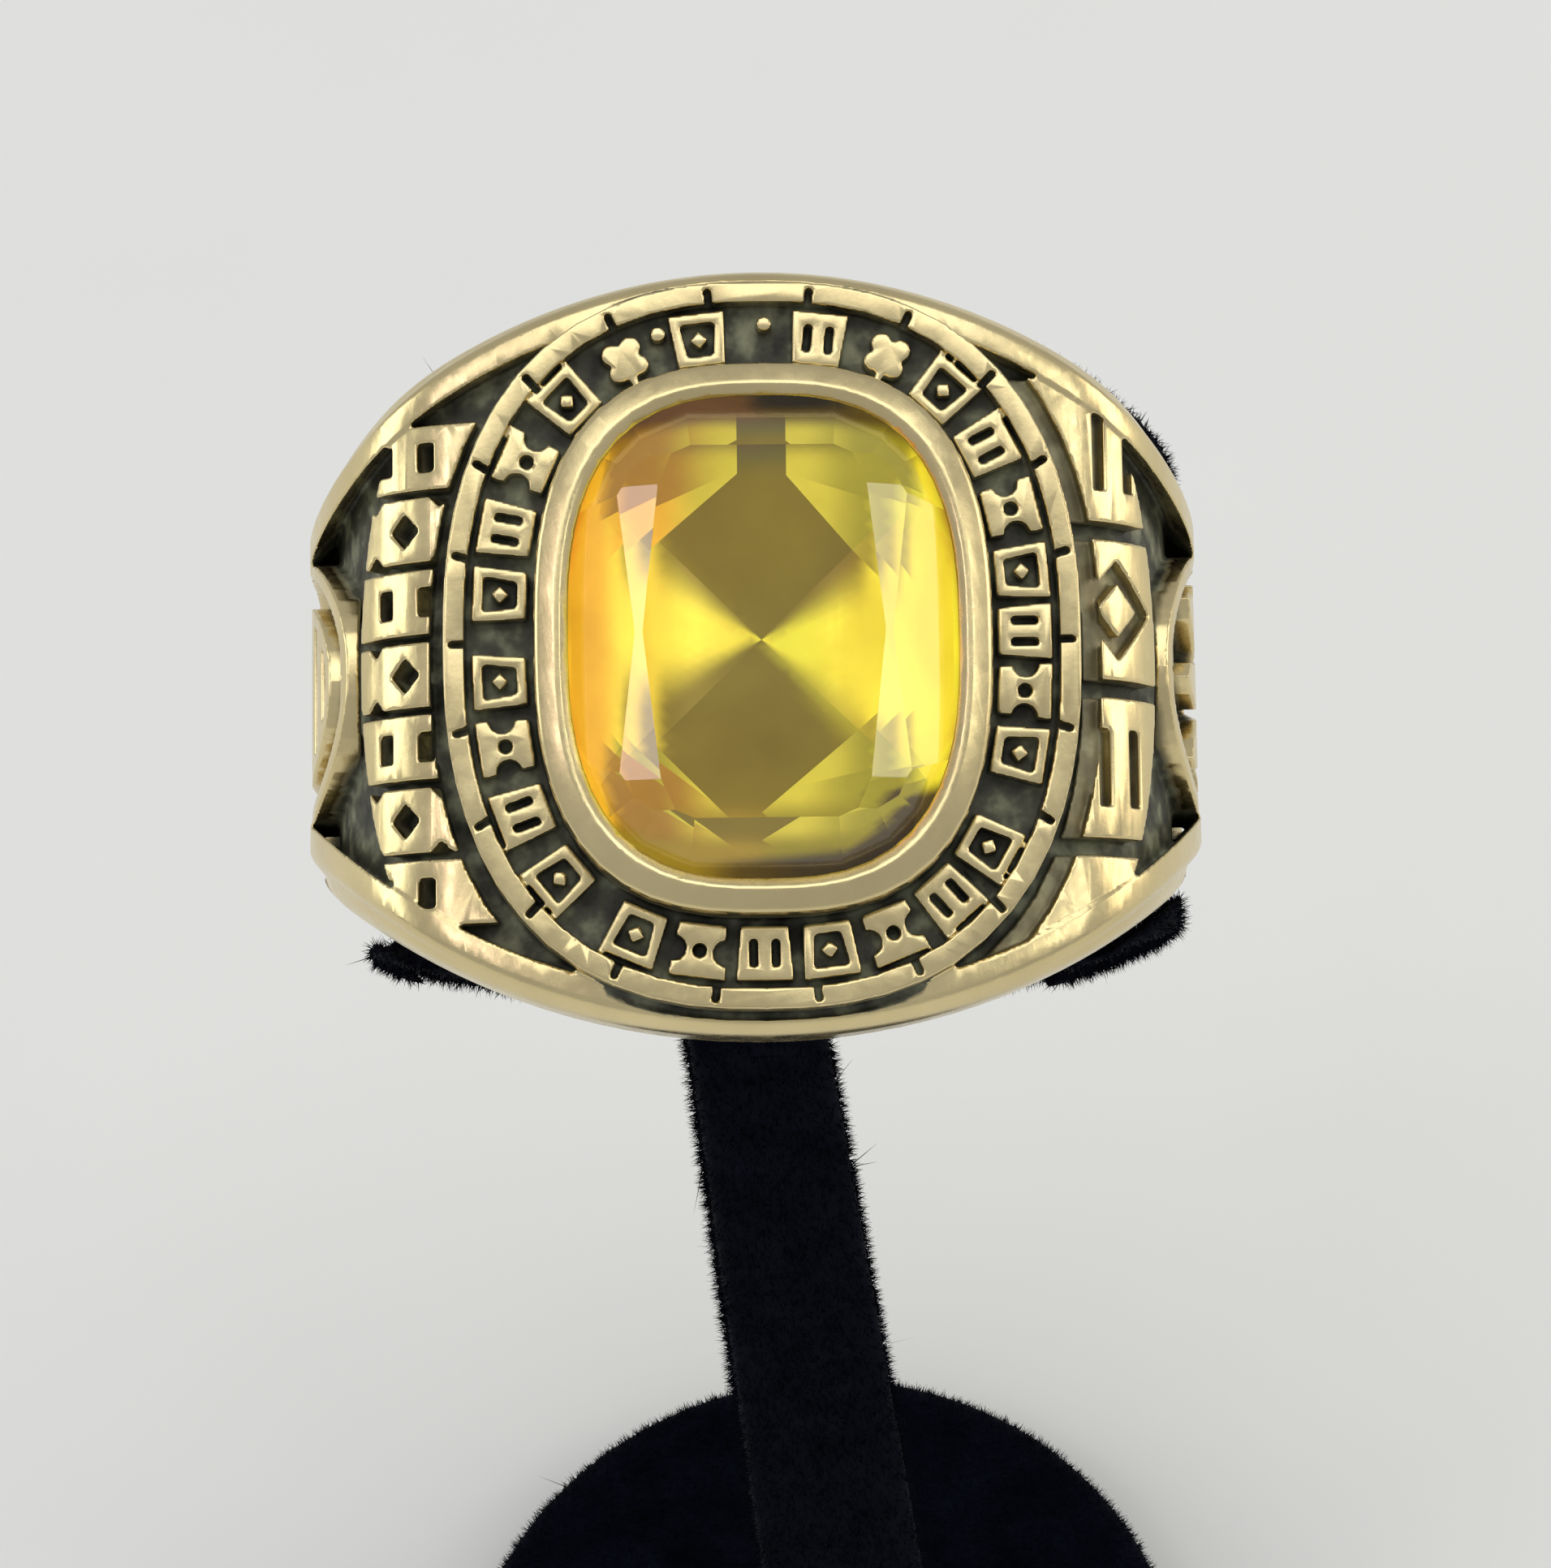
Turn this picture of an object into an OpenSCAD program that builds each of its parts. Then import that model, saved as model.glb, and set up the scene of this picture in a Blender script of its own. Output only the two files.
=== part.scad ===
// A class ring with a raised cushion stone, standing on a small clip stand.
// The ring is drawn about its own finger hole and then posed on the clip:
// X across the head, Y along the finger hole, Z out through the stone.

/* [Finger hole and band] */
// Diameter of the finger hole
bore_d = 19.8; // [18.6:0.1:21]
// Thickness of the band at the sides and under the finger
band_t = 1.6; // [1.5:0.05:2]
// Width of the band under the finger
band_w = 7.2; // [6:0.1:8]
// Width of the band at its sides
side_w = 9.2; // [8.8:0.1:10]
// Radius of the flare from the sides to the head
flare_r = 9.6; // [9.2:0.1:10.4]

/* [Head and shoulders] */
// Thickness of the metal from the finger hole to the rails
head_t = 3.05; // [2.9:0.05:3.4]
// How far the rails reach past the border at the top and bottom of the head
rail_end = 0.6; // [0.45:0.05:0.8]
// Radius of the rails' crown over the head, seen along the finger
crown_r = 24; // [20:0.5:30]
// Radius of the bend from the crown to the shoulders
crown_bend = 4; // [3:0.5:5]
// Radius of the shoulder curve seen along the finger
shoulder_r = 11.1; // [10.6:0.1:11.8]
// Drop of the shoulder curve below the rails where the border ends
shoulder_drop = 0.45; // [0.3:0.05:0.6]
// Width of the smooth rails
rail_w = 0.93; // [0.7:0.01:1.2]
// Depth of the panels between the rails
panel_d = 0.75; // [0.5:0.05:0.9]
// How far the relief stays below the rails
relief_drop = 0.05; // [0:0.01:0.2]

/* [Oval border] */
// Width of the border between the bezel and the rim
border_w = 1.68; // [1.5:0.02:1.8]
// Thickness of the rim
rim_t = 0.5; // [0.4:0.02:0.6]
// Height of the rim over the rails
rim_h = 0.9; // [0.7:0.05:1]
// Height of the border's floor over the rails
border_rise = 0.25; // [0.1:0.05:0.35]
// Width of the groove round the outside of the rim
rim_groove_w = 0.2; // [0.1:0.01:0.25]
// Depth of that groove below the rails
rim_groove_d = 0.25; // [0.1:0.05:0.35]
// Notches round the rim
notch_count = 22; // [16:1:28]
// Width of a notch
notch_w = 0.17; // [0.1:0.01:0.25]
// How far a notch reaches across the rim
notch_l = 0.36; // [0.2:0.01:0.4]
// Height of the frieze over the border's floor
frieze_h = 0.52; // [0.3:0.02:0.6]
// Clearance between the frieze tiles and the border's two walls
tile_gap = 0.19; // [0.12:0.01:0.3]
// Width of a frieze tile at its outer end
tile_w = 1.36; // [1.1:0.02:1.4]
// How much narrower a frieze tile is at its inner end
tile_taper = 0.24; // [0:0.02:0.4]

/* [Shoulder relief] */
// Blocks in the left column
brick_count = 7; // [5:1:8]
// Pitch of the left blocks along the finger
brick_pitch = 1.78; // [1.5:0.02:1.8]
// Pitch of the right blocks along the finger
slab_pitch = 3.9; // [3.6:0.05:4]
// Gap between the left blocks
brick_gap = 0.18; // [0.12:0.01:0.3]
// Gap between the right blocks
slab_gap = 0.42; // [0.3:0.02:0.5]
// Gap between the blocks and the rim
block_rim_gap = 0.42; // [0.3:0.01:0.6]
// Height of a side medallion
medallion_l = 10.2; // [9.6:0.1:10.6]
// Width of a side medallion
medallion_w = 6.9; // [6.4:0.1:7.4]
// Width of the raised line round a medallion
medallion_line = 0.4; // [0.3:0.02:0.6]

/* [Stone and bezel] */
// Width of the stone
stone_w = 10; // [9.8:0.05:10.2]
// Length of the stone along the finger
stone_l = 12.3; // [12:0.05:12.4]
// Wall of the bezel outside the stone
bezel_t = 0.42; // [0.38:0.01:0.5]
// Overlap of the bezel's lip over the stone
lip_w = 0.4; // [0.3:0.01:0.5]
// Thickness of the lip
lip_t = 0.55; // [0.4:0.01:0.7]
// Height of the bezel over the rails
bezel_h = 2.05; // [1.9:0.05:2.2]
// Height of the stone's table over the bezel
table_rise = 0.62; // [0.5:0.02:0.75]
// Thickness of the stone's girdle
girdle_t = 0.45; // [0.3:0.05:0.6]
// Depth of the stone's pavilion below its girdle
pavilion_d = 2.95; // [2.7:0.05:3.05]
// Slope of the stone's outer crown facets in degrees
crown_slope = 33; // [30:1:35]
// Clearance round the stone
stone_gap = 0.05; // [0.03:0.01:0.08]

/* [Clip stand] */
// Diameter of the stand's foot plate
plate_d = 24.4; // [22:0.1:30]
// Thickness of the foot plate
plate_t = 3; // [2:0.1:4]
// Height from the foot plate to the clip's bend
stem_h = 44.3; // [38:0.1:55]
// Width of the stem at the foot plate
stem_foot_w = 5.6; // [4.6:0.1:7]
// Width of the stem at the clip
stem_top_w = 3.4; // [3:0.1:5]
// Thickness of the stem
stem_t = 2.3; // [1.8:0.1:3]
// Sideways place of the stem on the foot plate
stem_x = 1.2; // [-2:0.1:2]
// Front to back place of the stem on the foot plate
stem_y = -3.8; // [-6:0.1:0]
// How far the stem stands left of the ring's middle
stem_left = 0.25; // [-1:0.05:1]
// Elevation that the stone faces, in degrees
facing = 58; // [50:1:66]
// Turn of the ring about the stone's own axis, in degrees
ring_turn = -11; // [-14:1:0]
// Thickness of the clip that the ring is pushed on
clip_t = 1.5; // [1.2:0.1:2]
// How much shorter the clip is than the head, along the finger hole
clip_short = 1.2; // [0.8:0.1:1.8]
// How far each wing stands out past the band along the finger hole
wing_proud = 1.6; // [1.3:0.1:1.9]
// How far the left wing stands out beyond the finger hole
wing_out_left = 0.4; // [0.2:0.05:1.4]
// How far the right wing stands out beyond the finger hole
wing_out_right = 1.55; // [0.4:0.05:1.7]
// Angle from the bezel to the end of the left wing
wing_angle_left = 76; // [70:1:120]
// Angle from the bezel to the end of the right wing
wing_angle_right = 108; // [95:1:120]
// Clearance between the clip and the ring
clip_gap = 0.1; // [0.06:0.01:0.15]

/* [Hidden] */
$fn = 96;

gold = "#c9ab67";
citrine = "#e0b318";
flock = "#15151a";

// Cutters run this far past what they cut
past = 1;
reach = 40;

// Ovals, as superellipse powers
rim_power = 2.45;
bezel_power = 2.75;
stone_power = 2.9;
medallion_power = 2.2;
oval_sides = 60;
bezel_w = stone_w + 2*bezel_t;
bezel_l = stone_l + 2*bezel_t;
rim_w = bezel_w + 2*(border_w + rim_t);
rim_l = bezel_l + 2*(border_w + rim_t);
head_l = rim_l + 2*rail_end;

// Radii and heights about the centre of the finger hole
bore_r = bore_d/2;
side_x = bore_r + band_t;
rail_z = bore_r + head_t;
groove_z = rail_z - rim_groove_d;
floor_z = rail_z + border_rise;
rim_z = rail_z + rim_h;
bezel_z = rail_z + bezel_h;
table_z = bezel_z + table_rise;
girdle_top = bezel_z - lip_t - stone_gap;
girdle_low = girdle_top - girdle_t;
culet_z = girdle_low - pavilion_d;
cup_z = culet_z - stone_gap;
cup_ledge = 0.2;
lip_relief = 0.27;
lip_relief_share = 0.3;

// Shoulder arcs end upright at the band's sides and pass below the border's edge
shoulder_at = [
    side_x - shoulder_r,
    rail_z - shoulder_drop
        - sqrt(pow(shoulder_r, 2) - pow(rim_w/2 - side_x + shoulder_r, 2))
];
shoulder_z = shoulder_at[1];

// The crown and a shoulder arc are joined by a bend that touches both from inside
crown_at = [0, rail_z - crown_r];
crown_step = shoulder_at - crown_at;
crown_share = (pow(crown_r - crown_bend, 2) - pow(shoulder_r - crown_bend, 2)
    + pow(norm(crown_step), 2))/(2*norm(crown_step));
crown_side = sqrt(pow(crown_r - crown_bend, 2) - pow(crown_share, 2));
bend_centre = crown_at + (crown_share*crown_step
    + crown_side*[crown_step[1], -crown_step[0]])/norm(crown_step);

// Lens-shaped outline of the head and shoulders, seen through the stone
lens_sag = (head_l - side_w)/2;
lens_r = (pow(side_x, 2) + pow(lens_sag, 2))/(2*lens_sag);

// The flare from the sides ends this far below the rails
head_wall = 1;
flare_z = rail_z - head_wall - flare_r;

// Shoulder relief is drawn in a plane that leans over the shoulder
shoulder_lean = 38;
relief_low = bore_r + 2;
relief_shift = -0.35;
// The relief runs this far into the rails, so that it is one with them
relief_seat = 0.15;
block_out = 1.7;
block_in = -4;
block_edge_r = 13;
slab_count = 4;
slab_top = 6.75;
slab_step = 0.3;

// Frieze groups: polar angle of the first tile, of the last tile, and tiles
frieze_groups = [
    [54, -24, 7],
    [-43, -114, 7],
    [-131, -172, 4],
    [169, 128, 4],
    [101, 79, 2]
];
floret_angles = [115, 66];
bead_angles = [108, 89];
tile_l = border_w - 2*tile_gap;

// Outer crown facets: direction, slope as a share of the crown slope
crown_facets = [[0, 1.06], [24, 1.27], [44, 1.27], [66, 1.24], [90, 1.2]];
// Crown facets round the table: direction, share of the crown slope, distance of the table's
// edge as a share of half the stone's width
table_facets = [[6.5, 0.6, 0.566], [24, 0.65, 0.731]];
// Facets under the girdle: direction, slope in degrees
girdle_facets = [[0, 50], [24, 46], [44, 40], [66, 34]];
// Slopes of the four pavilion facets that meet at the culet
culet_slope_side = 25;
culet_slope_end = atan(pavilion_d/(stone_l/2));

// The stem's foot stands in a slot in the foot plate
slot_d = 1;
stand_gap = 0.05;
plate_round = 1;

// The clip's sleeve bends down into the stem just outside the end of the finger hole
clip_l = head_l - clip_short;
wing_w = side_w + 2*wing_proud;
clip_r = bore_r - clip_gap;
clip_sag = (clip_l - wing_w)/2;
clip_lens_r = (pow(side_x, 2) + pow(clip_sag, 2))/(2*clip_sag);
clip_shift = 0.3;
wing_clear = 0.15;
tongue_drop = 0.25;
bend_at = [
    -stem_left,
    clip_shift - clip_l/2,
    sqrt(pow(clip_r, 2) - pow(stem_top_w/2, 2)) - stem_t/2
];
bend_height = plate_t + stem_h;

// Moves a piece from the ring's own frame to its place on the stand
module posed() {
    translate([stem_x, stem_y, bend_height])
        rotate([90 - facing, 0, 0])
            rotate([0, 0, ring_turn])
                translate(-bend_at) children();
}

// Distance of a superellipse from its centre in the direction a
function oval_r(a, w, l, p) =
    pow(pow(abs(cos(a))/(w/2), p) + pow(abs(sin(a))/(l/2), p), -1/p);
function oval_point(a, w, l, p) = oval_r(a, w, l, p)*[cos(a), sin(a)];

// Direction that a superellipse faces at its point in the direction a
function oval_facing(a, w, l, p) = atan2(
    sign(sin(a))*pow(abs(sin(a)), p - 1)/pow(l/2, p),
    sign(cos(a))*pow(abs(cos(a)), p - 1)/pow(w/2, p));

module oval(w, l, p) {
    polygon([for (i = [0:oval_sides - 1]) oval_point(i*360/oval_sides, w, l, p)]);
}

// Prism of an oval from one height to another, grown outwards by grow
module oval_prism(w, l, p, low, high, grow = 0) {
    translate([0, 0, low])
        linear_extrude(high - low)
            oval(w + 2*grow, l + 2*grow, p);
}

// Solid through ovals that are inset and raised by the rows of sections
module oval_loft(w, l, p, sections) {
    n = oval_sides;
    rows = len(sections);
    points = [for (s = sections, i = [0:n - 1])
        let (q = oval_point(i*360/n, w - 2*s[0], l - 2*s[0], p))
        [q[0], q[1], s[1]]];
    walls = [for (k = [0:rows - 2], i = [0:n - 1])
        let (j = (i + 1) % n)
        each [[k*n + i, (k + 1)*n + j, k*n + j], [k*n + i, (k + 1)*n + i, (k + 1)*n + j]]];
    low_cap = [for (i = [0:n - 1]) i];
    high_cap = [for (i = [0:n - 1]) rows*n - 1 - i];
    polyhedron(points, concat(walls, [low_cap, high_cap]), convexity = 4);
}

// Extrudes an outline drawn in X and Z along the finger
module along_finger() {
    rotate([90, 0, 0])
        linear_extrude(2*reach, center = true) children();
}

// Extrudes an outline drawn in Y and Z across the ring, from x0 to x1
module across(x0, x1) {
    translate([x0, 0, 0])
        rotate([90, 0, 90])
            linear_extrude(x1 - x0) children();
}

// Extrudes an outline drawn in X and Y through the whole ring
module through_head() {
    translate([0, 0, -reach])
        linear_extrude(2*reach) children();
}

// Part of its children that lies on one side of the line from a towards b, seen as the left
// side when keep is 1 and as the right side when keep is -1
module beside_line(a, b, keep) {
    intersection() {
        children();
        translate(a)
            rotate(atan2(b[1] - a[1], b[0] - a[0]))
                translate([-reach, keep > 0 ? 0 : -2*reach]) square([3*reach, 2*reach]);
    }
}

// Outline of the ring seen along the finger, inset from its outer surface
module front_profile(inset = 0) {
    circle(side_x - inset);
    translate([-(side_x - inset), 0])
        square([2*(side_x - inset), shoulder_z]);
    for (side = [0, 1])
        mirror([side, 0]) {
            beside_line(shoulder_at, bend_centre, -1)
                translate(shoulder_at) circle(shoulder_r - inset);
            translate(bend_centre) circle(crown_bend - inset);
            beside_line(crown_at, bend_centre, 1)
                beside_line(crown_at, crown_at + [0, 1], -1)
                    translate(crown_at) circle(crown_r - inset);
        }
}

// Lens outline seen through the stone, grown outwards by grow
module lens(grow = 0) {
    intersection_for (side = [-1, 1])
        translate([0, side*(lens_r - head_l/2)])
            circle(lens_r + grow);
}

// Outline of the ring seen from the side, with Y across and Z up
module side_profile() {
    joint = past/10;
    polygon([
        [-band_w/2, -side_x - past],
        [band_w/2, -side_x - past],
        [side_w/2, flare_z],
        [-side_w/2, flare_z]
    ]);
    difference() {
        translate([-head_l/2, flare_z - joint])
            square([head_l, rail_z + past - flare_z + joint]);
        for (side = [-1, 1])
            translate([side*(side_w/2 + flare_r), flare_z])
                circle(flare_r);
    }
}

// Shape of the ring before its panels, border and hole are cut
module ring_blank() {
    intersection() {
        along_finger() intersection() {
            front_profile();
            translate([-reach, -side_x]) square([2*reach, side_x + rail_z]);
        }
        through_head() lens();
        across(-reach, reach) side_profile();
    }
}

// Sunk panel of one shoulder, as the space to cut
module panel_cut() {
    panel_end_r = side_w/2 - rail_w;
    panel_end_z = shoulder_z - medallion_l/2 + panel_end_r;
    difference() {
        intersection() {
            through_head() lens(-rail_w);
            across(-reach, reach) {
                translate([0, panel_end_z]) circle(panel_end_r);
                translate([-reach, panel_end_z]) square([2*reach, reach]);
            }
        }
        along_finger() front_profile(panel_d);
        oval_prism(rim_w, rim_l, rim_power, 0, reach);
    }
}

// Draws in a plane that leans over the shoulder. X runs outwards and down the shoulder.
module on_shoulder() {
    rotate([0, shoulder_lean, 0])
        translate([0, 0, relief_low])
            linear_extrude(reach - relief_low) children();
}

// Rounds relief off at a depth below the outer surface and clear of the border
module shoulder_relief(inset, rim_gap) {
    difference() {
        intersection() {
            children();
            along_finger() front_profile(inset);
            through_head() lens(relief_seat - rail_w);
        }
        oval_prism(rim_w, rim_l, rim_power, 0, reach, rim_gap);
    }
}

// Region that the blocks fill, ending in an arc on its outer side
module block_region() {
    translate([block_out - block_edge_r, 0]) circle(block_edge_r);
}

// Two windows side by side, as the space to cut from a block
module twin_windows() {
    window_w = 0.46;
    window_l = 0.72;
    for (x = [-0.62, 0.62])
        translate([x - window_w/2, -window_l/2]) square([window_w, window_l]);
}

// Lozenge window between notched sides, as the space to cut from a block that is w wide
module lozenge_window(w) {
    window = 0.62;
    notch = 0.4;
    rotate(45) square(window, center = true);
    for (x = [-1, 1], side = [-1, 1])
        translate([x, side*w/2]) rotate(45) square(notch, center = true);
}

// Column of small blocks with windows and notches
module left_column() {
    brick_w = brick_pitch - brick_gap;
    half = (brick_count - 1)/2;
    shoulder_relief(relief_drop, block_rim_gap)
        on_shoulder()
            intersection() {
                block_region();
                for (k = [0:brick_count - 1])
                    translate([0, (k - half)*brick_pitch + relief_shift])
                        difference() {
                            translate([block_in, -brick_w/2])
                                square([block_out - block_in, brick_w]);
                            if (k % 2 == 0) twin_windows();
                            else lozenge_window(brick_w);
                        }
            }
}

// Large blocks with long slots, on steps that widen towards the border
module right_slabs() {
    slab_w = slab_pitch - slab_gap;
    slot = [0.36, 1.9];
    lozenge = 1.75;
    lozenge_line = 0.4;
    middle = slab_top - slab_w/2;
    module slab_outlines() {
        for (k = [0:slab_count - 1])
            translate([block_in, slab_top - slab_w - k*slab_pitch])
                square([block_out - block_in + past, slab_w]);
    }
    shoulder_relief(relief_drop, block_rim_gap + slab_step)
        on_shoulder()
            difference() {
                intersection() {
                    block_region();
                    slab_outlines();
                }
                for (k = [0:2:slab_count - 1], x = [-0.36, 0.64])
                    translate([x, middle - k*slab_pitch])
                        square(slot, center = true);
                translate([0.15, middle - slab_pitch])
                    difference() {
                        rotate(45) square(lozenge, center = true);
                        rotate(45) square(lozenge - 2*lozenge_line, center = true);
                    }
            }
    shoulder_relief(relief_drop + panel_d/2, block_rim_gap - slab_step/2)
        on_shoulder()
            intersection() {
                block_region();
                slab_outlines();
            }
}

// Raised line round a side medallion, with the outline w wide and l high
module medallion_ring(w, l) {
    difference() {
        oval(w, l, medallion_power);
        oval(w - 2*medallion_line, l - 2*medallion_line, medallion_power);
    }
}

// Oval shield with level bars
module fluted_shield() {
    bars = 6;
    bar_share = 0.62;
    shield_w = medallion_w - 2.2;
    shield_l = medallion_l - 2.4;
    pitch = (shield_l - 1.2)/bars;
    medallion_ring(shield_w, shield_l);
    intersection() {
        oval(shield_w - medallion_line, shield_l - medallion_line, medallion_power);
        for (k = [0:bars - 1])
            translate([0, (k - (bars - 1)/2)*pitch])
                square([shield_w, pitch*bar_share], center = true);
    }
}

// Fan of leaves over a small round boss
module palmette() {
    leaves = 7;
    leaf_turn = 19;
    boss_r = 0.75;
    foot = [0, -medallion_l*0.3];
    leaf_l = medallion_l*0.62;
    // Half of a leaf: half width, distance from the foot as a share of the leaf's length
    leaf_half = [[0.12, 0.15], [0.62, 0.72], [0.4, 0.93], [0, 1]];
    intersection() {
        oval(medallion_w - 1.4, medallion_l - 1.4, medallion_power);
        translate(foot) {
            circle(boss_r);
            for (k = [0:leaves - 1])
                rotate((k - (leaves - 1)/2)*leaf_turn)
                    polygon([
                        for (q = leaf_half) [q[0], q[1]*leaf_l],
                        for (i = [len(leaf_half) - 2:-1:0])
                            [-leaf_half[i][0], leaf_half[i][1]*leaf_l]
                    ]);
        }
    }
}

// Side medallion on the shoulder that faces +X, kept clear of the blocks
module medallion() {
    shoulder_relief(relief_drop, block_rim_gap)
        difference() {
            across(bore_r, reach)
                translate([0, shoulder_z]) {
                    medallion_ring(medallion_w, medallion_l);
                    children();
                }
            on_shoulder()
                translate([brick_gap, 0]) block_region();
        }
}

// Outline of a frieze tile, with X outwards, narrowed on all sides by inset
module tile_outline(inset = 0) {
    outer = tile_w/2 - inset;
    inner = (tile_w - tile_taper)/2 - inset;
    half = tile_l/2 - inset;
    polygon([[-half, -inner], [half, -outer], [half, outer], [-half, inner]]);
}

// Frieze tile: a frame with a lozenge in its window
module window_tile() {
    wall = 0.25;
    lozenge = 0.3;
    difference() {
        tile_outline();
        tile_outline(wall);
    }
    rotate(45) square(lozenge, center = true);
}

// Frieze tile: a block with two short slots
module slotted_tile() {
    slot = [0.66, 0.2];
    slot_y = 0.26;
    difference() {
        tile_outline();
        for (side = [-1, 1])
            translate([-slot[0]/2, side*slot_y - slot[1]/2]) square(slot);
    }
}

// Frieze tile: a spool with waisted sides and a round pit
module spool_tile() {
    waist_r = 0.3;
    pit_r = 0.17;
    difference() {
        tile_outline();
        for (side = [-1, 1])
            translate([0, side*(tile_w - tile_taper/2)/2]) circle(waist_r);
        circle(pit_r);
    }
}

// Four round leaves on a short stalk that points inwards
module floret() {
    leaf_r = 0.25;
    leaf_away = 0.34;
    stalk = [0.55, 0.18];
    for (turn = [45:90:315])
        rotate(turn) translate([leaf_away, 0]) circle(leaf_r);
    rotate(45) square(2*leaf_r, center = true);
    translate([-stalk[0], 0]) square(stalk, center = true);
}

// Places an ornament on the middle of the border, with X outwards
module on_border(angle) {
    w = (bezel_w + rim_w)/2 - rim_t;
    l = (bezel_l + rim_l)/2 - rim_t;
    p = (bezel_power + rim_power)/2;
    translate(oval_point(angle, w, l, p))
        rotate(oval_facing(angle, w, l, p)) children();
}

module frieze() {
    bead_r = 0.18;
    translate([0, 0, floor_z - past/2])
        linear_extrude(frieze_h + past/2) {
            for (g = frieze_groups, k = [0:g[2] - 1])
                on_border(g[0] + (g[1] - g[0])*k/(g[2] - 1))
                    if (k % 3 == 0) window_tile();
                    else if (k % 3 == 1) slotted_tile();
                    else spool_tile();
            for (a = floret_angles) on_border(a) floret();
            for (a = bead_angles) on_border(a) translate([tile_l/4, 0]) circle(bead_r);
        }
}

// Rim of the border and its floor, with radial notches in the rim
module rim() {
    notch_z = floor_z + border_rise/2;
    difference() {
        oval_prism(rim_w, rim_l, rim_power, groove_z - past, rim_z);
        oval_prism(rim_w, rim_l, rim_power, floor_z, rim_z + past, -rim_t);
        notches(notch_z, rim_z + past);
    }
}

module notches(low, high) {
    translate([0, 0, low])
        linear_extrude(high - low)
            for (k = [0:notch_count - 1])
                rotate(k*360/notch_count)
                    translate([oval_r(k*360/notch_count, rim_w, rim_l, rim_power) - rim_t,
                               0])
                        translate([-past/4, -notch_w/2]) square([notch_l + past/4, notch_w]);
}

// Bezel wall with its rounded lip, still filled in the middle
module bezel_blank() {
    crest = (bezel_t + lip_w)/2;
    inner_lap = 0.05;
    oval_loft(bezel_w, bezel_l, bezel_power, [
        [0, floor_z - past/2],
        [0, bezel_z - 0.8*crest],
        [0.08*crest, bezel_z - 0.6*crest],
        [0.25*crest, bezel_z - 0.45*crest],
        [1.2*crest, bezel_z - 0.05*crest],
        [1.35*crest, bezel_z],
        [1.5*crest, bezel_z - 0.05*crest],
        [2*crest + inner_lap, bezel_z - 0.45*crest]
    ]);
}

// Room for the stone below the lip, and the opening that it shows through
module stone_room() {
    seat_d = 0.4;
    oval_prism(stone_w, stone_l, stone_power, girdle_low - stone_gap - seat_d,
               girdle_top + stone_gap, stone_gap);
    oval_prism(stone_w, stone_l, stone_power, girdle_low, girdle_top + stone_gap + lip_relief,
               -lip_relief_share*lip_w);
    oval_prism(stone_w, stone_l, bezel_power, girdle_low, bezel_z + past, -lip_w);
    oval_prism(stone_w, stone_l, stone_power, cup_z, girdle_low, -cup_ledge);
}

module ring_casting() {
    color(gold)
        posed() difference() {
            union() {
                difference() {
                    ring_blank();
                    mirror([1, 0, 0]) panel_cut();
                    oval_prism(rim_w, rim_l, rim_power, groove_z, rail_z + past, rim_groove_w);
                }
                rim();
                frieze();
                bezel_blank();
                mirror([1, 0, 0]) left_column();
                right_slabs();
                mirror([1, 0, 0]) medallion() fluted_shield();
                medallion() palmette();
            }
            along_finger() circle(bore_r);
            stone_room();
        }
}

// Cuts away all that lies beyond a plane. The plane faces the direction turn, leans back by
// slope degrees from level, and stands away from the stone's axis at the height z.
// A crown plane faces up and a pavilion plane faces down.
module facet(turn, slope, away, z, up = true) {
    rotate(turn)
        translate([away, 0, z])
            mirror([0, 0, up ? 0 : 1])
                rotate([0, slope, 0])
                    translate([-reach/2, -reach/2, 0])
                        cube([reach, reach, reach/2]);
}

// Distance from the axis of a plane that touches the stone's outline
function touch(turn) =
    let (q = stone_power/(stone_power - 1))
    pow(pow(stone_w/2*abs(cos(turn)), q) + pow(stone_l/2*abs(sin(turn)), q), 1/q);

// The same facet on all the sides of the stone that mirror each other
module mirrored_facets(turn, slope, away, z, up = true) {
    turns = turn == 0 ? [0, 180] : turn == 90 ? [90, 270] : [turn, -turn, 180 - turn, 180 + turn];
    for (t = turns) facet(t, slope, away, z, up);
}

module stone() {
    color(citrine)
        posed()
            difference() {
                oval_prism(stone_w, stone_l, stone_power, culet_z - past, table_z);
                for (f = crown_facets)
                    mirrored_facets(f[0], f[1]*crown_slope, touch(f[0]), girdle_top - girdle_t/2);
                for (f = table_facets)
                    mirrored_facets(f[0], f[1]*crown_slope, f[2]*stone_w/2, table_z);
                for (f = girdle_facets)
                    mirrored_facets(f[0], f[1], touch(f[0]), girdle_low, false);
                mirrored_facets(0, culet_slope_side, pavilion_d/tan(culet_slope_side),
                                girdle_low, false);
                mirrored_facets(90, culet_slope_end, pavilion_d/tan(culet_slope_end),
                                girdle_low, false);
            }
}

// Lens outline of the clip, which is shorter than the head and wider than the band
module clip_lens() {
    translate([0, clip_shift])
        intersection_for (side = [-1, 1])
            translate([0, side*(clip_lens_r - clip_l/2)])
                circle(clip_lens_r, $fn = 180);
}

// Curved sleeve inside the finger hole, from one radius to another, cut to the clip's outline
module clip_shell(low_r, high_r) {
    intersection() {
        along_finger()
            difference() {
                circle(high_r);
                circle(low_r);
                polygon([
                    [0, 0],
                    reach*[sin(wing_angle_right), cos(wing_angle_right)],
                    [reach, -reach],
                    [-reach, -reach],
                    [-reach, 0],
                    reach*[-sin(wing_angle_left), cos(wing_angle_left)]
                ]);
            }
        through_head() clip_lens();
    }
}

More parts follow.
